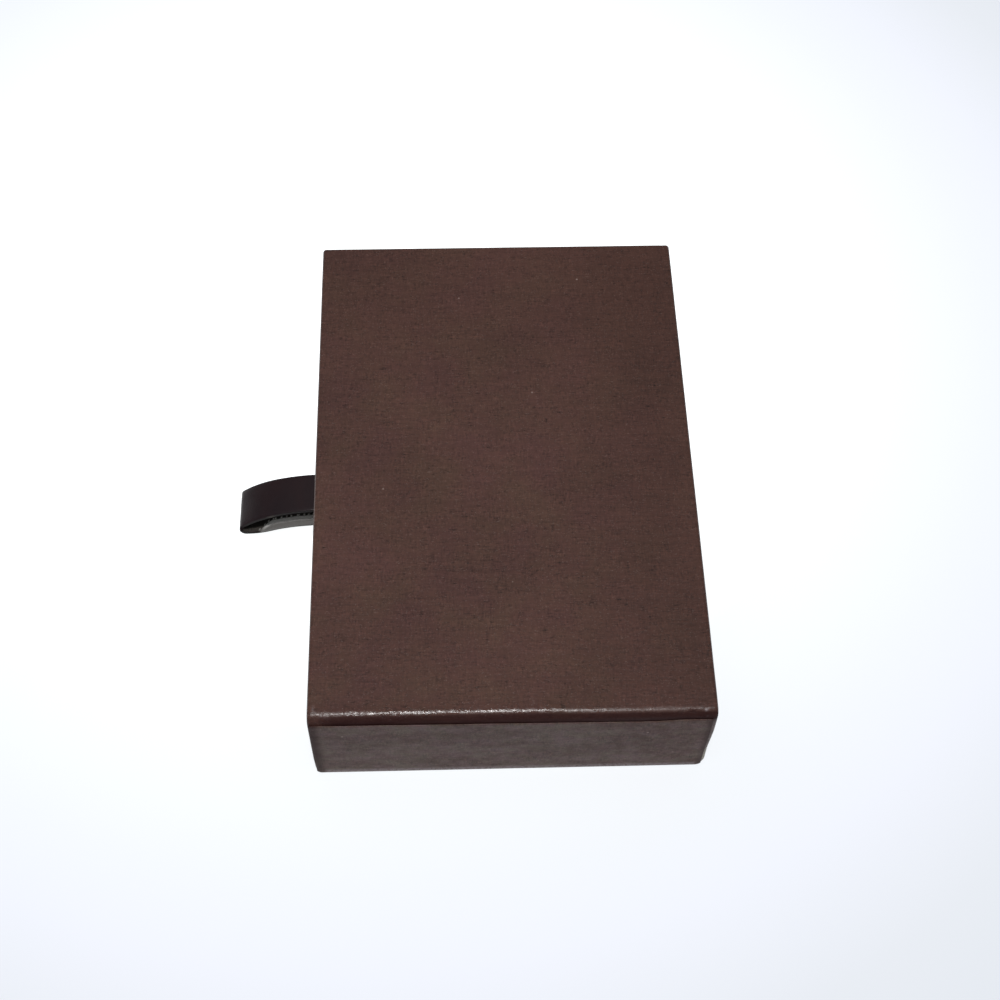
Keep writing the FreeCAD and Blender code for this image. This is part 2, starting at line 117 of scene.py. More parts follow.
def lightScene():
    lamp = bpy.data.lights.new("softbox", "SUN")
    lamp.energy = studio["keyStrength"]
    lamp.angle = math.radians(studio["keySpread"])
    lamp.color = studio["keyColour"]
    softbox = bpy.data.objects.new("softbox", lamp)
    softbox.rotation_euler = (math.radians(studio["keyTilt"]), 0, 0)
    bpy.context.scene.collection.objects.link(softbox)
    sky = bpy.data.worlds.new("studio")
    sky.use_nodes = True
    bpy.context.scene.world = sky
    nodes = sky.node_tree.nodes
    links = sky.node_tree.links
    room = nodes["Background"]
    direction = nodes.new("ShaderNodeTexCoord")
    height = nodes.new("ShaderNodeSeparateXYZ")
    ramp = nodes.new("ShaderNodeMapRange")
    ramp.interpolation_type = "SMOOTHSTEP"
    ramp.inputs["To Min"].default_value = studio["skyHorizon"]
    ramp.inputs["To Max"].default_value = studio["skyTop"]
    room.inputs["Color"].default_value = studio["skyColour"]
    links.new(direction.outputs["Generated"], height.inputs[0])
    links.new(height.outputs["Z"], ramp.inputs["Value"])
    links.new(ramp.outputs["Result"], room.inputs["Strength"])
    backdrop = nodes.new("ShaderNodeBackground")
    backdrop.inputs["Color"].default_value = studio["backdrop"]
    seen = nodes.new("ShaderNodeLightPath")
    either = nodes.new("ShaderNodeMixShader")
    links.new(seen.outputs["Is Camera Ray"], either.inputs[0])
    links.new(room.outputs[0], either.inputs[1])
    links.new(backdrop.outputs[0], either.inputs[2])
    links.new(either.outputs[0], nodes["World Output"].inputs["Surface"])
    bpy.context.scene.view_settings.view_transform = "Standard"


placeCamera()
lightScene()
print("camera and light placed")


# shader helpers

def paint(red, green, blue):
    # an 8-bit display colour as linear light
    def linear(level):
        share = level / 255
        return share / 12.92 if share <= 0.04045 else ((share + 0.055) / 1.055) ** 2.4
    return (linear(red), linear(green), linear(blue), 1)


class Wire:
    # one socket of a material; arithmetic on it adds Math nodes
    def __init__(self, tree, socket=None):
        self.tree = tree
        self.socket = socket

    def make(self, kind, settings=None, sockets=None, out=0):
        node = self.tree.nodes.new("ShaderNode" + kind)
        for name, value in (settings or {}).items():
            if name == "stops":
                self.setStops(node.color_ramp, value)
            else:
                setattr(node, name, value)
        for name, value in (sockets or {}).items():
            if isinstance(value, Wire):
                self.tree.links.new(value.socket, node.inputs[name])
            else:
                node.inputs[name].default_value = value
        return Wire(self.tree, node.outputs[out])

    def setStops(self, ramp, stops):
        while len(ramp.elements) < len(stops):
            ramp.elements.new(1)
        for element, (place, colour) in zip(ramp.elements, stops):
            element.position = place
            element.color = colour

    def math(self, operation, first, second):
        return self.make("Math", {"operation": operation}, {0: first, 1: second})

    def __add__(self, other):
        return self.math("ADD", self, other)

    def __sub__(self, other):
        return self.math("SUBTRACT", self, other)

    def __rsub__(self, other):
        return self.math("SUBTRACT", other, self)

    def __mul__(self, other):
        return self.math("MULTIPLY", self, other)

    __radd__ = __add__
    __rmul__ = __mul__

    def step(self, low, high, start=0.0, stop=1.0):
        return self.make(
            "MapRange",
            {"interpolation_type": "SMOOTHSTEP"},
            {"Value": self, "From Min": low, "From Max": high, "To Min": start, "To Max": stop},
        )

    def stretch(self, scale, move=(0, 0, 0)):
        return self.make("Mapping", None, {"Vector": self, "Scale": scale, "Location": move})

    def cloud(self, detail=2.0, roughness=0.5):
        return self.make(
            "TexNoise", None,
            {"Vector": self, "Scale": 1.0, "Detail": detail, "Roughness": roughness},
        )

    def dots(self, out="Distance"):
        return self.make("TexVoronoi", None, {"Vector": self, "Scale": 1.0}, out)

    def beads(self, out="Distance"):
        # cells along one direction only
        return self.make("TexVoronoi", {"voronoi_dimensions": "1D"}, {"W": self, "Scale": 1.0}, out)

    def stored(self, name):
        # a number kept on the mesh
        return self.make("Attribute", {"attribute_name": name}, None, "Fac")

    def channel(self, index):
        return self.make("SeparateXYZ", None, {0: self}, index)

    def tint(self, other, share):
        return self.make("Mix", {"data_type": "RGBA"}, {0: share, 6: self, 7: other}, 2)

    def scaled(self, value):
        return self.make("VectorMath", {"operation": "SCALE"}, {0: self, "Scale": value})

    def ramp(self, *stops):
        return self.make("ValToRGB", {"stops": stops}, {0: self})

    def bump(self, depth):
        return self.make("Bump", None, {"Height": self, "Distance": depth * mm, "Strength": 1.0})


def newMaterial(name, attribute=None, constants=None):
    # a material, and the wire that says where on the piece a pattern lies, in mm
    material = bpy.data.materials.new(name)
    material.use_nodes = True
    shader = material.node_tree.nodes["Principled BSDF"]
    for socket, value in (constants or {}).items():
        shader.inputs[socket].default_value = value
    wire = Wire(material.node_tree)
    if attribute:
        return material, wire.make("Attribute", {"attribute_name": attribute}, None, "Vector")
    place = wire.make("TexCoord", None, None, "Object")
    return material, place.stretch((1 / mm, 1 / mm, 1 / mm))


def connect(material, wires):
    shader = material.node_tree.nodes["Principled BSDF"]
    for name, wire in wires.items():
        material.node_tree.links.new(wire.socket, shader.inputs[name])


# materials

paper = {
    "olive": (71, 50, 42),
    "red": (71, 48, 42),
    "plum": (71, 47, 43),
    "far": (71, 46, 39),      # painted falloff tone, towards the back and the far end
    "speck": (150, 130, 124),
    # worn paper, and painted highlights on the edges and creases
    "wear": (130, 120, 122),
    "mottleAndSheenOlive": (149, 143, 133),
    "mottleAndSheenRose": (157, 139, 142),
    "threadPitch": 0.46,      # mm
    "threadLength": 1.6,
    "streakDepth": 0.5,       # shares of the colour
    "crossStreakDepth": 0.35,
    "nickDepth": 0.42,
    "crossNickDepth": 0.31,
    "driftDepth": 0.6,
    "speckDepth": 0.5,
    "glintDepth": 0.10,
    "paintedFalloffBack": (0.004, 0.044),         # painted falloff of light: metres from the middle, first and last of the darkening
    "paintedFalloffEnd": (0.005, 0.060),
    "emboss": 0.08,
    "rough": 0.36,
    "roughSwing": 0.07,
    "gloss": 0.20,
    # painted shade: colour, roughness and gloss of the dark band where the covering turns down
    "paintedShade": (38, 20, 20),
    "paintedShadeRough": 0.5,
    "paintedShadeGloss": 0.04,
}


def linenPaper(
    name, attribute=None, gloss=paper["gloss"], shade=1.0, mottleAndSheen=0.0, paintedFalloff=0.0, emboss=1.0,
    contrast=2.4, streaky=1.0, worn=False,
):
    # brown bookbinder's paper, embossed with a fine linen weave
    material, place = newMaterial(name, attribute, {"Specular IOR Level": gloss})
    fine = 1 / paper["threadPitch"]
    slow = 1 / paper["threadLength"]
    warp = place.stretch((slow, fine, fine)).cloud(2.0, 0.6)
    weft = place.stretch((fine, slow, fine), (7.3, 1.9, 4.1)).cloud(2.0, 0.6)
    weave = (warp + weft) * 0.5
    if not attribute:
        upright = place.stretch((fine, fine, slow), (3.7, 8.2, 0.6)).cloud(2.0, 0.6)
        weave = (weave * 2 + upright) * 0.333
    rough = weave.step(0.3, 0.7, paper["rough"] + paper["roughSwing"], paper["rough"] - paper["roughSwing"])
    clear = place.stretch((0.3, 0.3, 0.3), (6, 1, 9)).cloud(3.0, 0.6).step(0.38, 0.62, 0.35, 1.0)
    streaks = place.stretch((0.14, 1.3, 1.3), (1.1, 5.2, 9.4)).cloud(3.0, 0.6)
    crossStreaks = place.stretch((1.3, 0.18, 1.3), (4.6, 2.2, 3.4)).cloud(3.0, 0.6)
    nicks = place.stretch((0.75, 2.7, 2.7), (8.4, 3.1, 2.2)).cloud(2.0).step(0.60, 0.70) * clear
    crossNicks = place.stretch((2.6, 1.0, 2.6), (2.4, 6.1, 5.2)).cloud(2.0).step(0.62, 0.72) * clear
    glints = place.stretch((2.5, 2.9, 2.9), (5.5, 1.2, 7.7)).cloud(2.0).step(0.60, 0.72)
    drift = place.stretch((0.035, 0.035, 0.035), (31, 17, 2)).cloud(4.0, 0.55)
    lines = (streaks - 0.5) * paper["streakDepth"] + (crossStreaks - 0.5) * paper["crossStreakDepth"]
    value = (weave - 0.5) * clear * contrast + lines * streaky
    value = value - nicks * paper["nickDepth"] - crossNicks * paper["crossNickDepth"]
    value = (value + (drift - 0.5) * paper["driftDepth"] + 1.0) * shade
    hue = place.stretch((0.06, 0.06, 0.06), (12, 3, 5)).cloud(4.0, 0.6)
    base = hue.ramp(
        (0.38, paint(*paper["olive"])), (0.5, paint(*paper["red"])), (0.62, paint(*paper["plum"])),
    )
    # painted falloff of light: darker towards the back and the far end, and rougher towards the back
    if paintedFalloff:
        spot = place.make("TexCoord", None, None, "Object")
        backward = spot.channel(0).step(*paper["paintedFalloffBack"])
        endward = spot.channel(1).step(*paper["paintedFalloffEnd"])
        value = value * (1.0 - backward * paintedFalloff) * (1.0 - endward * (paintedFalloff * 0.4))
        base = base.tint(paint(*paper["far"]), backward * 0.7 + endward * 0.4)
        rough = rough + backward * 0.08
    cell = place.stretch((0.16, 0.16, 0.16))
    speck = cell.dots().step(0.02, 0.06, 1.0, 0.0) * cell.dots("Color").channel(0).step(0.70, 0.76)
    pale = speck * paper["speckDepth"] + glints * paper["glintDepth"]
    colour = base.scaled(value).tint(paint(*paper["speck"]), pale)
    # pale mottled bands in the paper, over a painted sheen: an even grey cast
    if mottleAndSheen:
        bands = place.stretch((0.05, 0.16, 1), (3, 8, 2)).cloud(2.0, 0.6).step(0.42, 0.62)
        mottle = place.stretch((0.32, 0.36, 0.3), (7, 3, 3)).cloud(4.0, 0.65).step(0.36, 0.66)
        cast = place.stretch((0.22, 0.30, 0.3), (2, 9, 6)).cloud(4.0, 0.65)
        bloom = cast.ramp((0.42, paint(*paper["mottleAndSheenOlive"])), (0.58, paint(*paper["mottleAndSheenRose"])))
        colour = colour.tint(bloom, (bands * 0.3 + mottle * 0.42 + 0.34) * mottleAndSheen)
    relief = (weave + glints * 0.5) * clear + streaks * 0.5 + crossStreaks * 0.4
    if worn:
        rub = place.stored("rub")
        ripple = place.stretch((0.8, 0.9, 0.9), (3, 3, 8)).cloud(3.0, 0.6)
        rough = rough - rub * 0.15 + (ripple - 0.5) * rub * 0.4
        relief = relief + ripple * rub
        # worn pale at the corners, with painted highlights along the edges, the foot and the crease ridges
        wear = place.stored("wear") * place.stretch((1.3, 1.3, 1.3)).cloud(3.0, 0.7).step(0.30, 0.60)
        colour = colour.tint(paint(*paper["wear"]), wear)
    normal = relief.bump(paper["emboss"] * emboss)
    connect(material, {"Base Color": colour, "Roughness": rough, "Normal": normal})
    # painted shade where the sheet turns down over the end
    if worn:
        paintedShade(material, place)
    return material


def paintedShade(material, place):
    # painted shade: the sheet is painted dark and dull where it turns down over the end
    tree = material.node_tree
    uneven = place.stretch((0.25, 1.2, 1.2), (4, 4, 4)).cloud(3.0, 0.6).step(0.3, 0.7, 0.92, 1.06)
    dull = place.make("BsdfPrincipled", None, {
        "Base Color": paint(*paper["paintedShade"]),
        "Roughness": paper["paintedShadeRough"],
        "Specular IOR Level": paper["paintedShadeGloss"],
    })
    glossy = Wire(tree, tree.nodes["Principled BSDF"].outputs[0])
    mixed = place.make("MixShader", None, {0: place.stored("tuck") * uneven, 1: glossy, 2: dull})
    tree.links.new(mixed.socket, tree.nodes["Material Output"].inputs["Surface"])


board = {"grey": (142, 136, 126), "fleck": (96, 88, 78), "pale": (176, 170, 158)}


def greyboard():
    # pressed waste-paper board with darker and paler fibres
    material, place = newMaterial("greyboard")
    pulp = place.stretch((0.9, 0.9, 2.4)).cloud(4.0, 0.7)
    fibre = place.stretch((0.5, 3.5, 3.5)).cloud(2.0, 0.6)
    flecks = place.stretch((0.8, 0.8, 0.8)).dots().step(0.10, 0.2, 1.0, 0.0)
    colour = pulp.ramp(
        (0.3, paint(*board["fleck"])), (0.52, paint(*board["grey"])), (0.75, paint(*board["pale"])),
    )
    colour = colour.tint(paint(*board["fleck"]), flecks * 0.5)
    rough = fibre.step(0.3, 0.7, 0.82, 0.95)
    connect(material, {"Base Color": colour, "Roughness": rough, "Normal": (pulp + fibre * 0.5).bump(0.05)})
    return material


# plain papers: dark, middle and light colours, fineness of the grain, its depth in mm, roughness
plainPapers = {
    "liningPaper": (((168, 149, 125), (188, 170, 146), (206, 190, 168)), 0.35, 0.02, 0.7),
    "linerCard": (((160, 142, 119), (182, 164, 140), (200, 184, 162)), 0.3, 0.03, 0.7),
    "kraftStay": (((128, 98, 68), (150, 118, 84), (170, 138, 102)), 0.4, 0.02, 0.8),
    "basePaper": (((40, 31, 28), (48, 38, 34), (57, 46, 41)), 0.4, 0.02, 0.72),
}


def plainPaper(name):
    # uncoated paper with a soft fibre grain
    tones, fineness, depth, dullness = plainPapers[name]
    material, place = newMaterial(name)
    grain = place.stretch((fineness * 3, fineness * 3, fineness * 3)).cloud(4.0, 0.65)
    cloudiness = place.stretch((0.08, 0.08, 0.08), (5, 9, 1)).cloud(3.0, 0.6)
    fibres = place.stretch((0.6, 4, 4), (2, 6, 8)).cloud(2.0, 0.6)
    dark, middle, light = (paint(*tone) for tone in tones)
    colour = (grain * 0.7 + cloudiness * 0.3).ramp((0.36, dark), (0.5, middle), (0.64, light))
    rough = fibres.step(0.3, 0.7, dullness - 0.06, dullness + 0.08)
    normal = (grain + fibres * 0.4).bump(depth)
    connect(material, {"Base Color": colour, "Roughness": rough, "Normal": normal})
    return material


leather = {
    "grain": (23, 12, 16),
    "brown": (29, 13, 16),
    "flesh": (60, 56, 52),
    "fleshDark": (30, 28, 26),
    "pared": (99, 97, 95),
    "paintedFill": (220, 218, 214),
    "spark": (205, 203, 198),
    "edge": (15, 13, 14),
    "rough": 0.36,
    "grainGloss": 0.25,
    "fleshGloss": 0.2,
    "edgeGloss": 0.12,
}


def strapGrain():
    # smooth, nearly black finished side of the strap
    material, place = newMaterial("strapGrain", "along", {"Specular IOR Level": leather["grainGloss"]})
    pores = place.stretch((3.2, 3.2, 3.2)).dots().step(0.0, 0.55)
    creases = place.stretch((2.4, 0.7, 1)).cloud(3.0, 0.6)
    sweep = place.stretch((0.12, 0.05, 1), (3, 4, 5)).cloud(2.0)
    colour = sweep.ramp((0.35, paint(*leather["grain"])), (0.65, paint(*leather["brown"])))
    rough = creases.step(0.3, 0.7, leather["rough"] - 0.05, leather["rough"] + 0.09)
    normal = (pores * 0.6 + creases).bump(0.018)
    connect(material, {"Base Color": colour, "Roughness": rough, "Normal": normal})
    return material


def strapFlesh():
    # split side of the leather: dark nap, and a smooth pale grey band along one edge, partly thinned by
    # paring and partly a painted lit strip, with painted fill light where the upper strand shades it and
    # painted glints along its edge
    material, place = newMaterial("strapFlesh", "along", {"Specular IOR Level": leather["fleshGloss"]})
    nap = place.stretch((2.2, 2.2, 1)).cloud(5.0, 0.75)
    patch = place.stretch((0.25, 0.35, 1), (8, 2, 4)).cloud(2.0)
    opened = place.stored("opened")
    pared = place.stored("pared") + (nap - 0.5) * 0.5
    band = pared.step(-0.12, 0.16)
    fringe = pared.step(-0.62, -0.42) * pared.step(-0.18, 0.02, 1.0, 0.0)
    # painted glints: pale specks along the edge of the pale band
    line = place.channel(0) * 0.85
    spark = line.beads().step(0.12, 0.24, 1.0, 0.0) * line.beads("Color").channel(1).step(0.1, 0.4)
    tone = nap * 0.7 + patch * 0.3
    colour = tone.ramp((0.33, paint(*leather["fleshDark"])), (0.62, paint(*leather["flesh"])))
    # pale band: leather thinned by paring, and a painted lit strip
    cut = band * opened.step(0.0, 0.9, 0.35, 1.0)
    colour = colour.tint(paint(*leather["pared"]), cut * tone.step(0.2, 0.8, 0.86, 1.0))
    # painted fill light: the band painted paler still where the upper strand shades it
    paintedFill = opened.step(0.3, 0.9) * pared.step(0.4, 1.5, 1.0, 0.0)
    colour = colour.tint(paint(*leather["paintedFill"]), band * paintedFill)
    colour = colour.tint(paint(*leather["spark"]), spark * fringe * opened)
    rough = nap.step(0.3, 0.7, 0.95, 0.8)
    connect(material, {"Base Color": colour, "Roughness": rough, "Normal": nap.bump(0.06)})
    return material


def strapEdge():
    # cut edge: blackened, but bare and grey where the strap is thinned by paring, in the same tone as the
    # painted lit strip
    material, place = newMaterial("strapEdge", "along", {"Specular IOR Level": leather["edgeGloss"]})
    fuzz = place.stretch((1.6, 5, 5)).cloud(4.0, 0.7)
    worn = place.stretch((0.16, 0.1, 0.1), (9, 9, 1)).cloud(1.0).step(0.52, 0.62)
    bare = place.stored("pared").step(0.1, 0.7)
    colour = fuzz.ramp((0.35, paint(*leather["edge"])), (0.75, paint(*leather["brown"])))
    colour = colour.tint(paint(*leather["flesh"]), worn).tint(paint(*leather["pared"]), bare)
    rough = fuzz.step(0.3, 0.7, 0.5, 0.75)
    connect(material, {"Base Color": colour, "Roughness": rough, "Normal": fuzz.bump(0.05)})
    return material


wrapPaper = linenPaper("linenPaperWrap", "weave", paintedFalloff=0.17, worn=True)
# the same paper as the covering, painted darker and given a painted sheen for the upright end, with less
# gloss
stripPaper = linenPaper(
    "linenPaperStrip", "weave", gloss=0.04, shade=0.78, mottleAndSheen=0.20, paintedFalloff=0.06, emboss=0.35,
    contrast=3.6, streaky=0.5, worn=True,
)
drawerPaper = linenPaper("linenPaperDrawer")
greyboardStuff = greyboard()
liningPaper = plainPaper("liningPaper")
linerCard = plainPaper("linerCard")
stayPaper = plainPaper("kraftStay")
basePaper = plainPaper("basePaper")
print("materials made")

finishes = {
    "sleeve_top_board": greyboardStuff, "sleeve_bottom_board": greyboardStuff,
    "sleeve_back_board": greyboardStuff, "sleeve_right_end_board": greyboardStuff,
    "sleeve_left_end_board": greyboardStuff, "sleeve_corner_stays": stayPaper,
    "sleeve_lining": basePaper, "sleeve_base_sheet": basePaper,
    "drawer_front_board": greyboardStuff, "drawer_back_board": greyboardStuff,
    "drawer_right_side_board": greyboardStuff, "drawer_left_side_board": greyboardStuff,
    "drawer_floor_board": greyboardStuff, "drawer_corner_stays": stayPaper,
    "drawer_covering": drawerPaper, "drawer_base_sheet": basePaper,
    "drawer_floor_liner": linerCard, "drawer_wall_lining": liningPaper,
    "drawer_front_liner": linerCard, "pull_strap_anchor_patch": stayPaper,
}
for nodeName, material in finishes.items():
    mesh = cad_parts[nodeName].data
    mesh.materials.clear()
    mesh.materials.append(material)
print("carried-over pieces finished")


# mesh helpers

def smoothStep(value, low, high):
    share = min(1, max(0, (value - low) / (high - low)))
    return share * share * (3 - 2 * share)


def mix(first, second, share):
    return first + (second - first) * share


def finishPiece(name, mesh, materials, body, stoodFor):
    # turns a bmesh in millimetres into a smooth object that rides on a body
    bmesh.ops.scale(mesh, vec=(mm, mm, mm), verts=mesh.verts)
    data = bpy.data.meshes.new(name)
    mesh.to_mesh(data)
    mesh.free()
    for material in materials:
        data.materials.append(material)
    data.shade_smooth()
    piece = bpy.data.objects.new(name, data)
    bpy.context.scene.collection.objects.link(piece)
    if body:
        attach(piece, body)
    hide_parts(*stoodFor)
    return piece


def thicken(piece, depth, side, even=True):
    shell = piece.modifiers.new("thickness", "SOLIDIFY")
    shell.thickness = depth * mm
    shell.offset = side
    shell.use_even_offset = even


def evenly(start, stop, count):
    return [mix(start, stop, step / count) for step in range(1, count + 1)]


def swell(point, scale, move):
    # smooth random height at a point, between -1 and 1
    return noise.noise(Vector([place * size for place, size in zip(point, scale)]) + Vector(move))


# the sleeve's covering: one sheet round the boards, turned in at the mouth

coverLow, coverHigh = (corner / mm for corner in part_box("sleeve_covering"))
liningLow, liningHigh = (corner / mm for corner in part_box("sleeve_lining"))
wrap = {
    "thick": 0.25,
    "rollRadius": 2.95,       # the top edge over the right end
    "tightRadius": 2.4,       # the same, where the sheet is drawn tighter near the back
    "edgeRadius": 0.92,       # the other edges
    "lowRadius": 0.4,         # underside
    "foldRadius": 0.3,        # round the boards into the mouth
    "turnInGap": 0.3,         # to the lining
    "wave": 0.07,             # unevenness of the glued sheet
    "rollWave": 0.02,         # and of its rolled edges
    "slowScale": (0.03, 0.03, 0.05),
    "quickScale": (0.13, 0.10, 0.12),
    "rippleScale": (0.22, 0.5, 0.5),
    "tightRun": 26.0,         # X over which the roll's radius changes
    "nearEnd": 5.0,           # closer rows of the mesh this near the mouth and the back
    "flapDepth": 9.0,
    "middleReach": 56.0,      # of the line on the back where the columns of top and underside meet
}
bottomZ, topZ = coverLow.z, coverHigh.z
openingY = liningHigh.y - wrap["thick"]
openingLow, openingHigh = liningLow.z + wrap["thick"], liningHigh.z - wrap["thick"]

outlineParts = [            # name, segments
    ("bottomLeft", 40), ("lowLeftArc", 4), ("leftSide", 26), ("topLeftArc", 8), ("top", 80),
    ("topRightArc", 16), ("rightSide", 30), ("lowRightArc", 4), ("bottomRight", 40),
]


def roundedOutline(half, low, high, rollRadius, topRadius, lowRadius):
    # points of a rounded upright rectangle with their outward normals, from the middle of the underside
    runs = {
        "bottomLeft": ((0, low), (half - lowRadius, low), (0, -1)),
        "leftSide": ((half, low + lowRadius), (half, high - topRadius), (1, 0)),
        "top": ((half - topRadius, high), (rollRadius - half, high), (0, 1)),
        "rightSide": ((-half, high - rollRadius), (-half, low + lowRadius), (-1, 0)),
        "bottomRight": ((lowRadius - half, low), (0, low), (0, -1)),
    }
    arcs = {
        "lowLeftArc": ((half - lowRadius, low + lowRadius), lowRadius, -90),
        "topLeftArc": ((half - topRadius, high - topRadius), topRadius, 0),
        "topRightArc": ((rollRadius - half, high - rollRadius), rollRadius, 90),
        "lowRightArc": ((lowRadius - half, low + lowRadius), lowRadius, 180),
    }
    points = []
    for name, count in outlineParts:
        for step in range(count):
            share = step / count
            if name in runs:
                start, stop, normal = runs[name]
                points.append((mix(start[0], stop[0], share), mix(start[1], stop[1], share), *normal))
            else:
                (centreY, centreZ), radius, first = arcs[name]
                angle = math.radians(first + 90 * share)
                points.append((
                    centreY + radius * math.cos(angle), centreZ + radius * math.sin(angle),
                    math.cos(angle), math.sin(angle),
                ))
    return points


outer, tighter = (
    roundedOutline(coverHigh.y, bottomZ, topZ, roll, wrap["edgeRadius"], wrap["lowRadius"])
    for roll in (wrap["rollRadius"], wrap["tightRadius"])
)
inner = roundedOutline(openingY, openingLow, openingHigh, *[wrap["foldRadius"]] * 3)


def middleLine():
    # where each column ends on the back's middle line: those of the top and the underside meet there
    ends = {"bottomLeft": (0, 1), "top": (1, -1), "bottomRight": (-1, 0)}
    places = []
    side = 0
    for name, count in outlineParts:
        start, stop = ends.get(name, (side, side))
        places += [mix(start, stop, step / count) * wrap["middleReach"] for step in range(count)]
        side = stop
    return places


meeting = middleLine()


def outside(column, x):
    # outline point and normal at a distance along the sleeve
    share = smoothStep(x, 0, wrap["tightRun"])
    return [mix(first, second, share) for first, second in zip(outer[column], tighter[column])]


def endRadius(z):
    # radius from a wall round to the mouth or back
    low = wrap["lowRadius"]
    return mix(low, wrap["edgeRadius"], smoothStep(z, bottomZ + low, bottomZ + 2))


def wrapRows():
    # rows of the loft, from the turned-in edge round the mouth to the back: each a function of the column
    fold = wrap["foldRadius"]
    front, back = coverLow.x, coverHigh.x
    turnInEdge = liningLow.x - wrap["turnInGap"]
    rows = []

    def opening(x, outward):
        def place(column):
            y, z, normalY, normalZ = inner[column]
            return (x, y + normalY * outward, z + normalZ * outward)
        return place

    def rim(share):
        def place(column):
            y, z, normalY, normalZ = outside(column, front)
            inset = endRadius(z)
            innerY, innerZ, awayY, awayZ = inner[column]
            return (
                front,
                mix(innerY + awayY * fold, y - normalY * inset, share),
                mix(innerZ + awayZ * fold, z - normalZ * inset, share),
            )
        return place

    def turn(angle, start, direction):
        def place(column):
            y, z, normalY, normalZ = outside(column, start)
            radius = endRadius(z)
            inset = radius * (1 - math.sin(angle))
            return (
                start + direction * radius * (1 - math.cos(angle)),
                y - normalY * inset,
                z - normalZ * inset,
            )
        return place

    def wall(share):
        # walls start and stop where the end rounding does
        def place(column):
            radius = endRadius(outer[column][1])
            x = mix(front + radius, back - radius, share)
            return (x, *outside(column, x)[:2])
        return place

    def backFace(share):
        def place(column):
            y, z, normalY, normalZ = outside(column, back)
            inset = endRadius(z)
            middleZ = (bottomZ + topZ) / 2
            return (
                back,
                mix(y - normalY * inset, meeting[column], share),
                mix(z - normalZ * inset, middleZ, share),
            )
        return place

    for x in [turnInEdge] + evenly(turnInEdge, front + fold, 10):
        rows.append(opening(x, 0))
    for step in (1, 2, 3):
        angle = math.radians(30 * step)
        rows.append(opening(front + fold * (1 - math.sin(angle)), fold * (1 - math.cos(angle))))
    for share in evenly(0, 1, 5):
        rows.append(rim(share))
    for step in range(1, 7):
        rows.append(turn(math.radians(15 * step), front, 1))
    length = back - front
    near = wrap["nearEnd"] / length
    for share in evenly(0, near, 20) + evenly(near, 1 - near, 66) + evenly(1 - near, 1, 20):
        rows.append(wall(share))
    for step in range(5, -1, -1):
        rows.append(turn(math.radians(15 * step), back, -1))
    for share in evenly(0, 1, 8):
        rows.append(backFace(share))
    return rows


def unevenness(point):
    # how far the sheet lies under its true surface at a point, in mm
    slow = swell(point, wrap["slowScale"], (3, 7, 1))
    quick = swell(point, wrap["quickScale"], (11, 2, 5))
    ripple = swell(point, wrap["rippleScale"], (1, 9, 4))
    nearRoll = smoothStep(abs(point[1]), 62.0, 65.0) * smoothStep(point[2], 21.0, 24.0)
    flat = wrap["wave"] * (0.5 + 0.35 * slow + 0.25 * quick)
    roll = wrap["rollWave"] * (0.5 + 0.5 * ripple) * nearRoll
    return max(0.0, flat) + max(0.0, roll)


# handling marks, with painted shade in the creases and painted highlights on their ridges, all in mm
marks = {
    # creases at the corners where the sheet is gathered: start, end, half width, height
    "folds": [
        ((-44.2, -63.4, 26.5), (-42.9, -65.0, 26.4), 0.28, 0.06),
        ((-42.9, -65.9, 26.1), (-41.8, -66.5, 25.7), 0.35, -0.04),
        ((-44.3, -66.7, 25.3), (-40.6, -67.2, 24.6), 0.30, -0.10),
        ((39.2, -66.0, 26.0), (43.5, -67.1, 24.9), 0.32, -0.15),
        ((44.4, -65.4, 26.2), (41.0, -65.7, 26.2), 0.30, 0.12),
        ((44.6, 66.4, 26.4), (42.6, 67.0, 26.0), 0.25, -0.10),
        ((-44.6, 66.4, 26.4), (-42.8, 67.0, 26.0), 0.25, -0.08),
    ],
    # painted shade in the creases, and painted highlights on their ridges and at the right corner: start,
    # end, half width, strength
    "dark": [
        ((-42.9, -65.9, 26.1), (-41.8, -66.5, 25.7), 0.36, 0.55),
        ((-44.0, -66.8, 25.2), (-40.8, -67.2, 24.5), 0.32, 0.9),
        ((39.2, -66.1, 26.0), (43.0, -67.1, 24.9), 0.34, 1.0),
    ],
    "pale": [
        ((-44.1, -63.6, 26.5), (-43.0, -65.0, 26.4), 0.22, 0.55),
        ((-41.8, -65.5, 26.3), (-39.9, -66.3, 25.8), 0.30, 0.30),
        ((42.2, -65.9, 26.1), (42.4, -65.9, 26.1), 0.26, 2.2),
        ((41.1, -65.4, 26.3), (41.3, -65.4, 26.3), 0.22, 1.1),
        ((42.5, -66.9, 25.0), (42.6, -66.9, 25.0), 0.22, 1.1),
    ],
    # foot of the right end's two upright edges, rounded in plan: side of X, radius, height
    "crushed": [(1, 2.8, 19.0), (-1, 1.6, 6.0)],
    "crushFull": 2.0,
    # where the edges start to be worn pale and carry painted highlights, and are fully so, from the middle
    # and up
    "scuffAndSheenX": (43.9, 44.9),
    "scuffAndSheenY": (66.0, 67.2),
    "scuffAndSheenTop": (25.2, 26.4),
    "scuffAndSheenFoot": (1.4, 0.4),
    "footShare": 0.2,
}


def creaseAt(point, creases):
    # sum of the creases near a point, each weaker towards its end
    total = 0.0
    for start, stop, width, strength in creases:
        first, last = Vector(start), Vector(stop)
        run = last - first
        share = max(0, min(1, (point - first).dot(run) / run.length_squared))
        gap = (point - first - run * share).length
        total += strength * math.exp(-(gap / width) ** 2) * (1 - 0.6 * share)
    return total


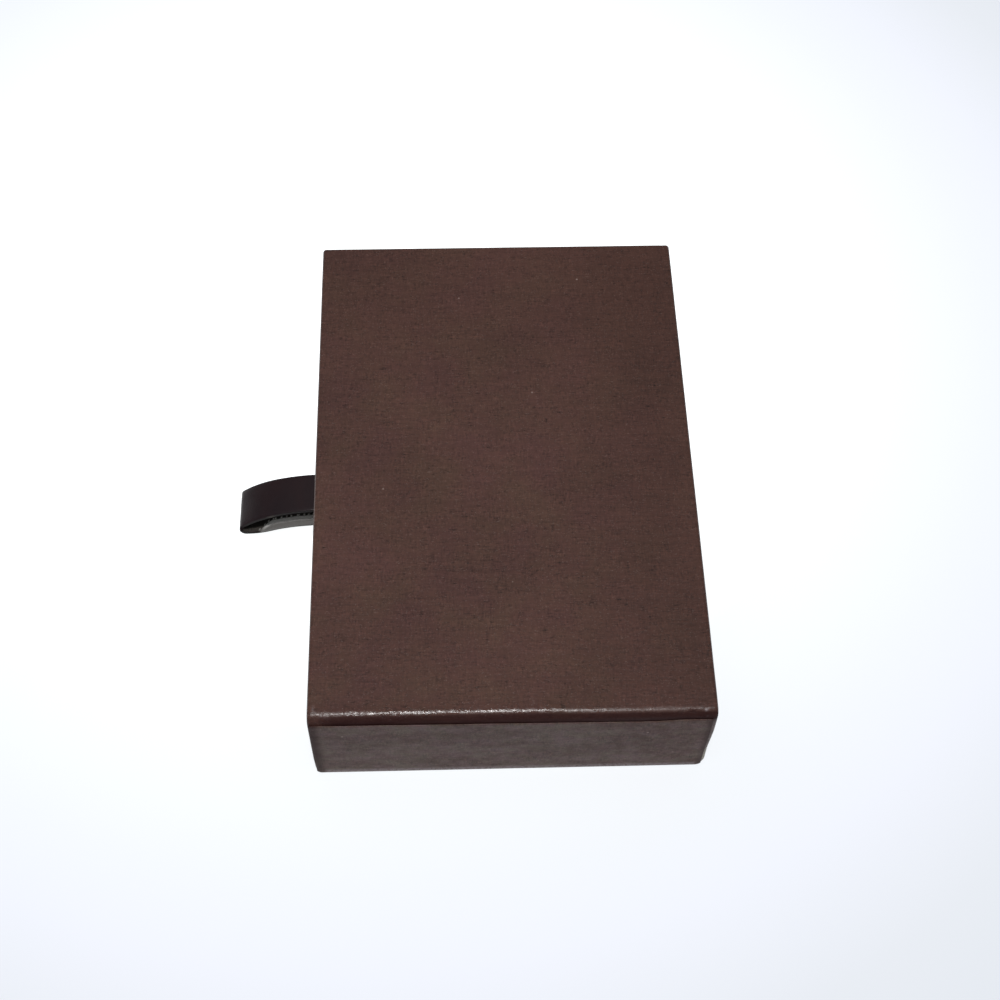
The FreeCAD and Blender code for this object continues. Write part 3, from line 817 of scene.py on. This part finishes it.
def crush(point):
    for side, radius, height in marks["crushed"]:
        centreX, centreY = side * (coverHigh.x - radius), coverLow.y + radius
        awayX, awayY = side * (point.x - centreX), centreY - point.y
        reach = math.hypot(awayX, awayY)
        if awayX > 0 and awayY > 0 and reach > radius:
            scale = mix(1, radius / reach, smoothStep(point.z, height, marks["crushFull"]))
            return Vector((centreX + side * awayX * scale, centreY - awayY * scale, point.z))
    return point


def settle(mesh):
    # moves every vertex of a sheet in by its unevenness and out by its folds
    mesh.normal_update()
    moves = {}
    for vertex in mesh.verts:
        rise = creaseAt(vertex.co, marks["folds"]) - unevenness(vertex.co)
        moves[vertex] = crush(vertex.co + vertex.normal * rise)
    for vertex, place in moves.items():
        vertex.co = Vector((
            max(cadLow.x / mm, min(coverHigh.x, place.x)),
            max(cadLow.y / mm, min(cadHigh.y / mm, place.y)),
            max(bottomZ, min(topZ, place.z)),
        ))


def wearAndSheenAt(point):
    # how pale the paper is: worn most at the corners, with painted highlights along the edges, the foot and
    # the crease ridges
    top = smoothStep(point.z, *marks["scuffAndSheenTop"])
    foot = marks["footShare"] * smoothStep(point.z, *marks["scuffAndSheenFoot"])
    edges = smoothStep(abs(point.x), *marks["scuffAndSheenX"]) + smoothStep(abs(point.y), *marks["scuffAndSheenY"])
    return min(1, smoothStep(edges + max(top, foot), 1.6, 2.9) + creaseAt(point, marks["pale"]))


strip = {
    "thick": 0.22,
    "slack": 0.03,            # to the covering
    "frontMargin": 0.35,      # in from the mouth
    "backReach": 0.5,         # past its solid, towards the back
    "dropMouth": 1.8,         # covering that shows above it, at the mouth
    "dropBack": 2.9,          # and at the back
    "turnedUp": [(0.1, -36.0, -43.0), (0.65, 29.0, 40.0)],  # its corners: rise, first and last X
    "waver": 0.10,            # of its top edge
    "waverScales": (0.12, 0.45),
    "foot": 0.10,             # above the table
    "cell": 0.4,
    "rows": 34,
    "follow": 0.8,            # share of the covering's unevenness
    "clear": 0.005,           # inside the part's box
    "edgeRound": 0.07,
    "scuffAndSheen": 0.8,             # painted highlight along its foot, mottled like worn paper, but not near its ends
    "scuffAndSheenUp": (1.9, 1.0),
    "scuffAndSheenAcross": (43.2, 41.8),
    "rub": 0.75,              # painted shade at its ends
    "endShadeAcross": (41.6, 44.2),
}


def stripHead(x):
    # height of the right end strip's top edge, which turns up a little at both corners
    share = (x - coverLow.x) / (coverHigh.x - coverLow.x)
    wide, narrow = strip["waverScales"]
    waver = noise.noise(Vector((x * wide, 4.0, 2.0))) + 0.5 * noise.noise(Vector((x * narrow, 9.0, 6.0)))
    rise = sum(height * smoothStep(x, start, full) for height, start, full in strip["turnedUp"])
    return topZ - mix(strip["dropMouth"], strip["dropBack"], share) + rise + strip["waver"] * waver


# painted shade: a dark band painted on the covering between its rolled edge and the right end strip
band = {
    "startMouth": -65.45,     # Y where it starts, near the mouth
    "startBack": -65.85,      # and near the back
    "startRun": (0.0, 24.0),  # X over which that changes
    "blend": 0.6,
    "highShare": 0.78,        # high above the strip
    "lowShare": 0.92,         # and close to it
    "heights": (1.3, 0.3),
    "mouthShare": 0.45,       # at the mouth's corner
    "mouthRun": (-43.8, -38.5),
    "under": (-1.6, -0.3),    # heights under the strip's edge where it ends
}
# rippled gloss on the rolled edge itself
polish = {
    "across": (-63.6, -64.8),
    "up": (24.0, 25.5),
    "backShare": 0.25,
    "backRun": (5.0, 30.0),
    "mouthShare": 0.3,
    "mouthRun": (-44.0, -36.0),
}


def paintedDarkAt(point):
    # how much painted shade the sheet has between the rolled edge and the right end strip, and in the
    # corner creases
    if point.y > 0:
        return 0.0
    above = point.z - stripHead(point.x)
    onset = mix(band["startMouth"], band["startBack"], smoothStep(point.x, *band["startRun"]))
    turned = smoothStep(point.y, onset, onset - band["blend"])
    turned *= mix(band["highShare"], band["lowShare"], smoothStep(above, *band["heights"]))
    turned *= mix(band["mouthShare"], 1.0, smoothStep(point.x, *band["mouthRun"]))
    turned *= smoothStep(above, *band["under"])
    return max(turned, min(1, creaseAt(point, marks["dark"])))


def rubAt(point):
    # how glossy the rolled edge is: less towards the back and at the mouth's corner
    rolled = smoothStep(point.y, *polish["across"]) * smoothStep(point.z, *polish["up"])
    rolled *= mix(1.0, polish["backShare"], smoothStep(point.x, *polish["backRun"]))
    return rolled * mix(polish["mouthShare"], 1.0, smoothStep(point.x, *polish["mouthRun"]))


def makeWrap():
    mesh = bmesh.new()
    column = mesh.verts.layers.int.new("column")
    weave = mesh.verts.layers.float_vector.new("weave")
    wear = mesh.verts.layers.float.new("wear")
    tuck = mesh.verts.layers.float.new("tuck")
    rub = mesh.verts.layers.float.new("rub")
    rows = wrapRows()
    around = [0.0]
    for start, stop in zip(outer, outer[1:]):
        around.append(around[-1] + math.dist(start[:2], stop[:2]))
    ring = []
    for index in range(len(outer)):
        vertex = mesh.verts.new(rows[0](index))
        vertex[column] = index
        ring.append(vertex)
    edges = [mesh.edges.new((ring[index - 1], ring[index])) for index in range(len(ring))]
    for vertex in ring:
        vertex[weave] = (0, around[vertex[column]], 0)
    run = 0.0
    middle = outlineParts[0][1] // 2
    for before, row in zip(rows, rows[1:]):
        run += math.dist(before(middle), row(middle))
        made = bmesh.ops.extrude_edge_only(mesh, edges=edges)["geom"]
        fresh = {item for item in made if isinstance(item, bmesh.types.BMVert)}
        edges = [
            item for item in made
            if isinstance(item, bmesh.types.BMEdge) and item.verts[0] in fresh and item.verts[1] in fresh
        ]
        for vertex in fresh:
            vertex.co = row(vertex[column])
            vertex[weave] = (run, around[vertex[column]], 0)
    bmesh.ops.remove_doubles(mesh, verts=mesh.verts, dist=0.005)
    for vertex in mesh.verts:
        if vertex.co.x > coverHigh.x - 0.001:
            vertex[weave] = (300 - vertex.co.z, 100 - vertex.co.y, 0)    # the flat back
    bmesh.ops.recalc_face_normals(mesh, faces=mesh.faces)
    topFace = max(mesh.faces, key=lambda face: face.calc_center_median().z)
    if topFace.normal.z < 0:
        bmesh.ops.reverse_faces(mesh, faces=mesh.faces)
    settle(mesh)
    for vertex in mesh.verts:
        vertex[wear] = wearAndSheenAt(vertex.co)
        vertex[tuck] = paintedDarkAt(vertex.co)
        vertex[rub] = rubAt(vertex.co)
    cutWindows(mesh)
    piece = finishPiece("sleeve_wrap", mesh, [wrapPaper], "sleeve", ["sleeve_covering"])
    thicken(piece, wrap["thick"], -1, False)


def cutWindows(mesh):
    # under the end strips and the base sheet the sheet only reaches the flaps' depth
    depth = wrap["flapDepth"]
    hidden = []
    for face in mesh.faces:
        middle = face.calc_center_median()
        across = coverLow.x + depth < middle.x < coverHigh.x - depth
        inEnd = abs(middle.y) > coverHigh.y - 0.4 and depth < middle.z < topZ - depth
        under = middle.z < bottomZ + 0.2 and abs(middle.y) < coverHigh.y - depth
        if across and (inEnd or under):
            hidden.append(face)
    bmesh.ops.delete(mesh, geom=hidden, context="FACES")


makeWrap()
print("sleeve covering made")


# strips of the same paper over the two ends

def makeStrip(name, nodeName, side):
    front = coverLow.x + strip["frontMargin"]
    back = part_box("sleeve_right_end_strip")[1].x / mm + strip["backReach"]
    outmost = cadHigh.y / mm - strip["thick"] - strip["clear"]
    mesh = bmesh.new()
    columns = round((back - front) / strip["cell"])
    weave = mesh.verts.layers.float_vector.new("weave")
    wear = mesh.verts.layers.float.new("wear")
    tuck = mesh.verts.layers.float.new("tuck")
    bmesh.ops.create_grid(mesh, x_segments=columns, y_segments=strip["rows"], size=1)
    bend = wrap["edgeRadius"]
    for vertex in mesh.verts:
        across, up = (vertex.co.x + 1) / 2, (vertex.co.y + 1) / 2
        x = mix(front, back, across)
        z = mix(strip["foot"], stripHead(x), up)
        beyond = max(0, coverLow.x + bend - x, x - coverHigh.x + bend)
        y = coverHigh.y - bend + math.sqrt(max(0, bend * bend - beyond * beyond)) + strip["slack"]
        y -= unevenness((x, side * coverHigh.y, z)) * strip["follow"]
        vertex[weave] = (x + 200, z + 90 * side, 0)
        vertex.co = crush(Vector((x, side * min(y, outmost), z)))
        endward = abs(vertex.co.x)
        scuffAndSheen = strip["scuffAndSheen"] * smoothStep(vertex.co.z, *strip["scuffAndSheenUp"])
        vertex[wear] = scuffAndSheen * smoothStep(endward, *strip["scuffAndSheenAcross"])
        vertex[tuck] = strip["rub"] * smoothStep(endward, *strip["endShadeAcross"])
    bmesh.ops.recalc_face_normals(mesh, faces=mesh.faces)
    if mesh.faces[:][0].normal.y * side < 0:
        bmesh.ops.reverse_faces(mesh, faces=mesh.faces)
    piece = finishPiece(name, mesh, [stripPaper], "sleeve", [nodeName])
    thicken(piece, strip["thick"], 1)
    rounding = piece.modifiers.new("edge", "BEVEL")
    rounding.width = strip["edgeRound"] * mm
    rounding.segments = 2
    rounding.limit_method = "ANGLE"


makeStrip("right_end_strip_paper", "sleeve_right_end_strip", -1)
makeStrip("left_end_strip_paper", "sleeve_left_end_strip", 1)
print("end strips made")


# the pull strap: one strip of leather, in through two slits and out in a loop

loopLow, loopHigh = (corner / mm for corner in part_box("pull_strap_loop"))
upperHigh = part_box("pull_strap_upper_tail")[1] / mm
lowerLow, lowerHigh = (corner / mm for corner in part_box("pull_strap_lower_tail"))
pull = {
    "width": loopHigh.y - loopLow.y,
    "thick": 0.9,
    "crownRadius": 30.0,
    "noseRadius": 1.7,
    "sagRun": 6.3,
    "upperExit": loopHigh.z,
    "lowerExit": lowerLow.z,
    "bend": 0.1,              # inside of each tail's bend
    "paredAndLitWidth": 2.45,
    "paredAndLitOut": -1.2,         # the same where the strap isn't thinned by paring and has no painted lit strip
    "paredAndLitStart": -62.5,      # X between which the paring, the painted lit strip and the painted fill light inside set in
    "paredFull": -56.5,
    "openedLater": 1.5,
    "free": (0.5, 8.0),       # from the drawer's face: where the loop starts to sway, and sways fully
    "ripple": 0.05,           # out of its surface
    "sideRipple": 0.10,
    "curl": 0.05,             # of its two edges
    "skew": 0.55,             # the free loop's lower strand lies this far forward
    "spread": 0.40,           # and its nose reaches this far back
    "spreadRun": (-50.0, -63.0),
    "cutRound": 0.14,
    "cell": 0.4,
    "acrossCuts": 11,
}


def strapMoves():
    # the outside line as runs and turns: (length, 0) or (radius, signed angle)
    face = loopHigh.x
    boardInside = upperHigh.x - pull["thick"]
    reach = face - loopLow.x - pull["noseRadius"]
    crown, nose = pull["crownRadius"], pull["noseRadius"]
    crownTurn = math.asin(reach / (crown - nose))
    noseZ = pull["upperExit"] - crown + (crown - nose) * math.cos(crownTurn)
    footZ = noseZ - nose
    sagTurn = 2 * math.atan((pull["lowerExit"] - footZ) / reach)
    sagRadius = pull["sagRun"] / math.sin(sagTurn)
    rootRadius = (reach - pull["sagRun"]) / math.sin(sagTurn)
    quarter = math.pi / 2
    bend = pull["bend"]
    wide = bend + pull["thick"]
    start = (boardInside, upperHigh.z)
    moves = [
        (upperHigh.z - pull["upperExit"] - bend, 0),
        (bend, -quarter),
        (boardInside - bend - face, 0),
        (crown, crownTurn),
        (nose, math.pi - crownTurn),
        (sagRadius, sagTurn),
        (rootRadius, -sagTurn),
        (upperHigh.x - wide - face, 0),
        (wide, quarter),
        (lowerHigh.z - pull["lowerExit"] - wide, 0),
    ]
    return start, moves


def walk(distance, start, moves):
    # place and heading on the outside line after a distance
    x, z = start
    heading = -math.pi / 2
    for size, turn in moves:
        length = size if turn == 0 else size * abs(turn)
        part = min(distance, length)
        if turn == 0:
            x += part * math.cos(heading)
            z += part * math.sin(heading)
        else:
            side = math.copysign(1, turn)
            swept = side * part / size
            x += side * size * (math.sin(heading + swept) - math.sin(heading))
            z -= side * size * (math.cos(heading + swept) - math.cos(heading))
            heading += swept
        distance -= part
        if distance <= 0:
            break
    return x, z, heading


def sway(distance, x, y, heading):
    # how far the leather lies off a true strip: out of its surface, and sideways
    half = pull["width"] / 2
    out = loopHigh.x - x
    free = smoothStep(out, *pull["free"])
    lift = free * pull["ripple"] * noise.noise(Vector((distance * 0.2, y * 0.25, 3.0)))
    lift += free * pull["curl"] * (abs(y) / half) ** 4
    dip = 1 if math.cos(heading) > 0 else math.sin(heading)
    below = smoothStep(dip, -0.9, 0.4) * smoothStep(out, 0.0, 2.5)
    uneven = noise.noise(Vector((distance * 0.12, math.copysign(5, y), 8.0)))
    shift = free * pull["sideRipple"] * uneven * abs(y) / pull["width"]
    shift -= pull["skew"] * below * smoothStep(y, half, -half)
    shift += pull["spread"] * smoothStep(x, *pull["spreadRun"]) * smoothStep(y, -half, half)
    return lift, shift


def makeStrap():
    start, moves = strapMoves()
    length = sum(size if turn == 0 else size * abs(turn) for size, turn in moves)
    width, thick = pull["width"], pull["thick"]
    mesh = bmesh.new()
    bmesh.ops.create_cube(mesh, size=1)
    bmesh.ops.scale(mesh, vec=(length, width, thick), verts=mesh.verts)
    bmesh.ops.translate(mesh, vec=(length / 2, 0, thick / 2), verts=mesh.verts)
    lengthwise = [edge for edge in mesh.edges if abs(edge.verts[0].co.x - edge.verts[1].co.x) > 1]
    bmesh.ops.bevel(
        mesh, geom=lengthwise, offset=pull["cutRound"], offset_type="OFFSET", segments=3,
        profile=0.5, affect="EDGES", material=-1,
    )
    lengthwise = [edge for edge in mesh.edges if abs(edge.verts[0].co.x - edge.verts[1].co.x) > 1]
    bmesh.ops.subdivide_edges(mesh, edges=lengthwise, cuts=round(length / pull["cell"]), use_grid_fill=True)
    across = [edge for edge in mesh.edges if abs(edge.verts[0].co.y - edge.verts[1].co.y) > width / 2]
    bmesh.ops.subdivide_edges(mesh, edges=across, cuts=pull["acrossCuts"], use_grid_fill=True)
    along = mesh.verts.layers.float_vector.new("along")
    pared = mesh.verts.layers.float.new("pared")
    opened = mesh.verts.layers.float.new("opened")
    mesh.normal_update()
    for item in mesh.faces:
        item.material_index = 2
        if item.normal.z > 0.75:
            item.material_index = 1
        if item.normal.z < -0.6:
            item.material_index = 0
    for vertex in mesh.verts:
        distance, y, depth = vertex.co
        vertex[along] = (distance, y, depth)
        x, z, heading = walk(distance, start, moves)
        started = 0
        if math.cos(heading) > 0:
            started = smoothStep(x, pull["paredAndLitStart"], pull["paredFull"])
        vertex[pared] = mix(pull["paredAndLitOut"], pull["paredAndLitWidth"], started) - (y + width / 2)
        vertex[opened] = smoothStep(x, pull["paredAndLitStart"], pull["paredFull"] + pull["openedLater"])
        lift, shift = sway(distance, x, y, heading)
        depth += lift
        vertex.co = Vector((x - math.sin(heading) * depth, y + shift, z + math.cos(heading) * depth))
    bmesh.ops.recalc_face_normals(mesh, faces=mesh.faces)
    strap = finishPiece(
        "pull_strap", mesh, [strapGrain(), strapFlesh(), strapEdge()], None,
        ["pull_strap_loop", "pull_strap_upper_tail", "pull_strap_lower_tail"],
    )
    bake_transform(strap)


makeStrap()
print("pull strap made")


# floor: a pale table that glows a little, so that shadows on it stay faint

table = {
    "size": 6000.0,
    "drop": 0.05,                # mm under the box
    "colour": (0.40, 0.42, 0.43, 1),
    "gloss": 0.1,
    "glow": 1.0,
    "middle": (-30.0, 70.0),     # mm, where it glows most
    "reach": 300.0,
    # painted pool of light: how it glows from the middle outwards
    "glows": [
        (0.15, (1.05, 1.07, 1.08, 1)), (0.28, (0.94, 0.96, 0.96, 1)), (0.43, (0.57, 0.58, 0.59, 1)),
        (0.55, (0.48, 0.487, 0.52, 1)), (0.613, (0.447, 0.45, 0.515, 1)),
        (0.713, (0.363, 0.37, 0.414, 1)), (1.0, (0.25, 0.27, 0.31, 1)),
    ],
}


def lightTable():
    # pale sheet with a faint grain, whose own glow paints a pool of light, brightest near the box
    material, place = newMaterial("lightTable", None, {
        "Base Color": table["colour"],
        "Specular IOR Level": table["gloss"],
        "Emission Strength": table["glow"],
    })
    grain = place.stretch((0.05, 0.05, 0.05)).cloud(2.0)
    fromMiddle = place.stretch((1, 1, 1), (-table["middle"][0], -table["middle"][1], 0))
    distance = place.make("VectorMath", {"operation": "LENGTH"}, {0: fromMiddle}, "Value")
    glow = (distance * (1 / table["reach"])).ramp(*table["glows"])
    rough = grain.step(0, 1, 0.75, 0.85)
    connect(material, {"Roughness": rough, "Normal": grain.bump(0.01), "Emission Color": glow})
    return material


def makeFloor():
    mesh = bmesh.new()
    bmesh.ops.create_grid(mesh, x_segments=2, y_segments=2, size=table["size"] / 2)
    bmesh.ops.translate(mesh, vec=(0, 0, -table["drop"]), verts=mesh.verts)
    bmesh.ops.scale(mesh, vec=(mm, mm, mm), verts=mesh.verts)
    data = bpy.data.meshes.new("floor")
    mesh.to_mesh(data)
    mesh.free()
    data.materials.append(lightTable())
    floor = bpy.data.objects.new("floor", data)
    bpy.context.scene.collection.objects.link(floor)


makeFloor()
print("floor made")
